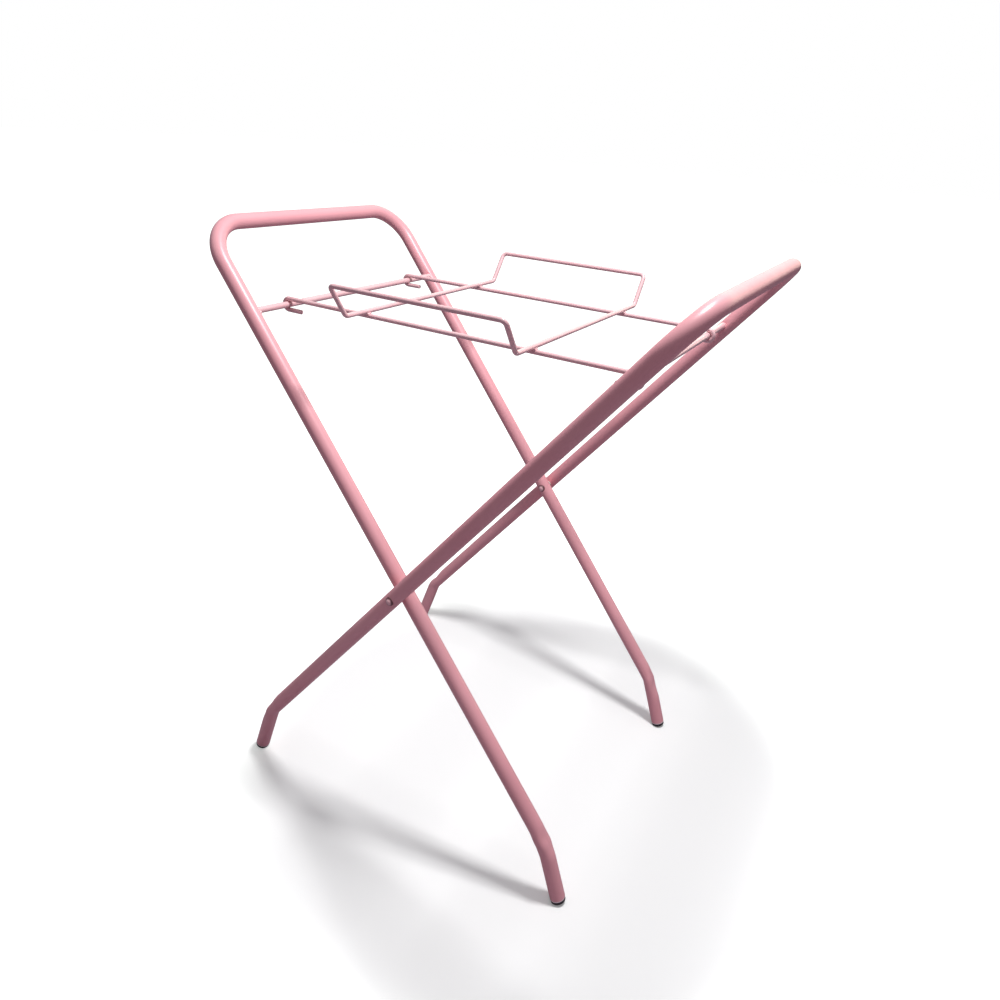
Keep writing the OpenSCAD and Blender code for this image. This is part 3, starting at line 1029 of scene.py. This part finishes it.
def plugProfile():
    # From the sole up: dome, rim, ribbed stem, then down its hollow
    r, dome, thick = footPlug["rim"], footPlug["dome"], footPlug["rimThick"]
    ball = (r * r + dome * dome) / (2 * dome)
    low = -thick - dome
    profile = [(footPlug["tip"], low)]
    edge, rings = math.asin(r / ball), footPlug["domeRings"]
    for k in range(1, rings + 1):
        a = edge * (k / rings) ** footPlug["domeCrowd"]
        profile.append((ball * math.sin(a), low + ball - ball * math.cos(a)))
    stem, length, hollow = footPlug["stem"], footPlug["stemLength"], footPlug["hollow"]
    e, between = footPlug["edge"], footPlug["edge"] * footPlug["edgeMiddle"]
    profile += [(r, -e), (r - between, -between), (r - e, 0), (stem, 0)]
    pitch = length / (footPlug["ribs"] + 1)
    for i in range(1, footPlug["ribs"] + 1):
        profile += [(stem, i * pitch - footPlug["ribHalf"]), (footPlug["rib"], i * pitch),
                    (stem, i * pitch + footPlug["ribHalf"])]
    lead, root = 0.3 * mm, 0.4 * mm    # slopes at the stem's open end and at the hollow's bottom
    return profile + [(stem, length - lead), (stem - lead, length), (hollow, length),
                      (hollow, root), (hollow - root, 0)]


def pressPlug(name, half, side, mirrored, node):
    foot = (Matrix.Translation((0, side * half, -legDown)) @ Matrix.Rotation(footTurn, 4, "Y")
            @ Matrix.Translation((0, 0, -footLength)))
    pose = framePose(mirrored) @ foot

    def standFlat(verts):
        # What would go through the floor is worn flat on it
        turned, shift = np.array(pose)[:3, :3], np.array(pose)[:3, 3]
        world = verts @ turned.T + shift
        world[:, 2] = -softMin(-world[:, 2], np.zeros(len(world)), footPlug["wornSoft"])
        world[:, 2] = np.maximum(world[:, 2], footPlug["offFloor"])
        return (world - shift) @ turned

    piece = turnPiece(name, plugProfile(), pose, standFlat)
    place(piece, plugSatin, "black_plug", node)


for side, word in ((near, "near"), (far, "far")):
    pressPlug(word + "InnerPlug", stand["innerHalf"], side, False, "foot_plug_inner_" + word)
    pressPlug(word + "OuterPlug", stand["outerHalf"], side, True, "foot_plug_outer_" + word)
print("plugs pressed in")


# ---- studio ----

studio = {
    "lampAt": (0.31, -0.01, 1.67),
    "lampRadius": 0.105,
    "lampPower": 46.0,
    "skyLow": (0.10, 0.08, 0.112, 1),
    "skyHigh": (0.42, 0.41, 0.43, 1),
    "shineLow": (0.30, 0.26, 0.33, 1),
    "shineHigh": (0.80, 0.80, 0.80, 1),
    "shineBack": (1.50, 1.30, 1.06, 1),    # pale wall behind the stand, for reflections only
    "skyTop": 0.95,          # height of a direction where the low tones have given way
    "backFrom": 0.55,        # depth of a direction where the wall begins
    "backTo": 0.95,
    "floorAlbedo": 0.9,
    "floorGlow": 0.15,       # close to the stand; it rises to white farther out
    "glowTone": (0.94, 1.0, 0.94, 1),
    "glowMiddle": (0.12, 0, 0),
    "glowFrom": 0.40,
    "glowTo": 0.60,
    "floorSeenByPieces": (0.36, 0.30, 0.35, 1),
    "floorHalf": 30,
}


def hangLamp():
    # Its light falls off with the distance and not with the square of it
    lamp = bpy.data.lights.new("keyLamp", "POINT")
    lamp.shadow_soft_size = studio["lampRadius"]
    lamp.energy = studio["lampPower"]
    lamp.use_nodes = True
    tree = lamp.node_tree
    falloff = addNode(tree, "ShaderNodeLightFalloff", {"Strength": 1.0})
    tree.links.new(falloff.outputs["Linear"], tree.nodes["Emission"].inputs["Strength"])
    holder = bpy.data.objects.new("keyLamp", lamp)
    holder.location = studio["lampAt"]
    bpy.context.scene.collection.objects.link(holder)


def paintSky():
    # White to the camera, one tone by height for matt light and another for reflections
    world = bpy.data.worlds.new("studioRoom")
    bpy.context.scene.world = world
    world.use_nodes = True
    tree = world.node_tree
    links = tree.links
    tree.nodes.clear()
    path = tree.nodes.new("ShaderNodeLightPath")
    seen = addNode(tree, "ShaderNodeBackground", {"Color": (1, 1, 1, 1), "Strength": 1.0})
    fill = addNode(tree, "ShaderNodeBackground", {"Strength": 1.0})
    gloss = addNode(tree, "ShaderNodeBackground", {"Strength": 1.0})
    where = tree.nodes.new("ShaderNodeTexCoord")
    split = tree.nodes.new("ShaderNodeSeparateXYZ")
    ramp = addNode(tree, "ShaderNodeMapRange", {"From Min": 0.0, "From Max": studio["skyTop"]},
                   interpolation_type="SMOOTHSTEP")
    fillTone = addNode(tree, "ShaderNodeMix", {"A": studio["skyLow"], "B": studio["skyHigh"]},
                       data_type="RGBA")
    glossTone = addNode(tree, "ShaderNodeMix", {"A": studio["shineLow"], "B": studio["shineHigh"]},
                        data_type="RGBA")
    behind = addNode(tree, "ShaderNodeMapRange", {
        "From Min": studio["backFrom"], "From Max": studio["backTo"]}, interpolation_type="SMOOTHSTEP")
    backTone = addNode(tree, "ShaderNodeMix", {"B": studio["shineBack"]}, data_type="RGBA")
    mixGloss = tree.nodes.new("ShaderNodeMixShader")
    mixSeen = tree.nodes.new("ShaderNodeMixShader")
    out = tree.nodes.new("ShaderNodeOutputWorld")
    links.new(where.outputs["Generated"], split.inputs[0])
    links.new(split.outputs["Z"], ramp.inputs["Value"])
    links.new(ramp.outputs[0], fillTone.inputs["Factor"])
    links.new(ramp.outputs[0], glossTone.inputs["Factor"])
    links.new(fillTone.outputs["Result"], fill.inputs["Color"])
    links.new(split.outputs["Y"], behind.inputs["Value"])
    links.new(behind.outputs[0], backTone.inputs["Factor"])
    links.new(glossTone.outputs["Result"], backTone.inputs["A"])
    links.new(backTone.outputs["Result"], gloss.inputs["Color"])
    links.new(path.outputs["Is Glossy Ray"], mixGloss.inputs["Fac"])
    links.new(fill.outputs[0], mixGloss.inputs[1])
    links.new(gloss.outputs[0], mixGloss.inputs[2])
    links.new(path.outputs["Is Camera Ray"], mixSeen.inputs["Fac"])
    links.new(mixGloss.outputs[0], mixSeen.inputs[1])
    links.new(seen.outputs[0], mixSeen.inputs[2])
    links.new(mixSeen.outputs[0], out.inputs["Surface"])


def layFloor():
    # Matt and faintly glowing to the camera, and a darker matt floor to the pieces
    h = studio["floorHalf"]
    mesh = bpy.data.meshes.new("studioFloor")
    mesh.from_pydata([(-h, -h, 0), (h, -h, 0), (h, h, 0), (-h, h, 0)], [], [(0, 1, 2, 3)])
    floor = bpy.data.objects.new("studioFloor", mesh)
    bpy.context.scene.collection.objects.link(floor)
    material = bpy.data.materials.new("paleFloor")
    material.use_nodes = True
    tree = material.node_tree
    links = tree.links
    tree.nodes.clear()
    path = tree.nodes.new("ShaderNodeLightPath")
    matt = addNode(tree, "ShaderNodeBsdfDiffuse", {"Color": (studio["floorAlbedo"],) * 3 + (1,)})
    dim = addNode(tree, "ShaderNodeBsdfDiffuse", {"Color": studio["floorSeenByPieces"]})
    glow = addNode(tree, "ShaderNodeEmission", {"Color": studio["glowTone"]})
    where = tree.nodes.new("ShaderNodeTexCoord")
    away = addNode(tree, "ShaderNodeVectorMath", {1: studio["glowMiddle"]}, operation="DISTANCE")
    rise = addNode(tree, "ShaderNodeMapRange", {
        "From Min": studio["glowFrom"], "From Max": studio["glowTo"],
        "To Min": studio["floorGlow"], "To Max": 1.0}, interpolation_type="SMOOTHSTEP")
    both = tree.nodes.new("ShaderNodeAddShader")
    pick = tree.nodes.new("ShaderNodeMixShader")
    out = tree.nodes.new("ShaderNodeOutputMaterial")
    links.new(where.outputs["Object"], away.inputs[0])
    links.new(away.outputs["Value"], rise.inputs["Value"])
    links.new(rise.outputs[0], glow.inputs["Strength"])
    links.new(matt.outputs[0], both.inputs[0])
    links.new(glow.outputs[0], both.inputs[1])
    links.new(path.outputs["Is Camera Ray"], pick.inputs["Fac"])
    links.new(dim.outputs[0], pick.inputs[1])
    links.new(both.outputs[0], pick.inputs[2])
    links.new(pick.outputs[0], out.inputs["Surface"])
    mesh.materials.append(material)


view = {
    "at": (0.52806, -0.91271, 0.98996),
    "yaw": 28.905,           # to the left of +Y
    "pitch": -21.932,
    "roll": 4.051,
    "focal": 753.21,         # in pixels of the 1000 pixel wide picture
    "shiftX": 4.17,          # of the picture's middle, in the same pixels
    "shiftY": -62.05,
    "imageWidth": 1000,
    "sensorWidth": 36,       # in mm
}


def placeCamera():
    yaw, pitch, roll = (math.radians(view[k]) for k in ("yaw", "pitch", "roll"))
    ahead = np.array([-math.sin(yaw) * math.cos(pitch), math.cos(yaw) * math.cos(pitch), math.sin(pitch)])
    right = np.array([math.cos(yaw), math.sin(yaw), 0])
    up = np.cross(right, ahead)
    x = math.cos(roll) * right + math.sin(roll) * up
    y = -math.sin(roll) * right + math.cos(roll) * up
    camera = bpy.data.cameras.new("photoView")
    camera.sensor_width = view["sensorWidth"]
    camera.lens = view["focal"] / view["imageWidth"] * camera.sensor_width
    camera.shift_x = -view["shiftX"] / view["imageWidth"]
    camera.shift_y = view["shiftY"] / view["imageWidth"]
    camera.clip_start = 0.02
    camera.clip_end = 100
    holder = bpy.data.objects.new("photoView", camera)
    pose = Matrix.Identity(4)
    for row in range(3):
        pose[row][0], pose[row][1], pose[row][2] = x[row], y[row], -ahead[row]
        pose[row][3] = view["at"][row]
    holder.matrix_world = pose
    bpy.context.scene.collection.objects.link(holder)
    bpy.context.scene.camera = holder


hangLamp()
paintSky()
layFloor()
placeCamera()
bpy.context.scene.view_settings.view_transform = "Standard"
print("studio ready")
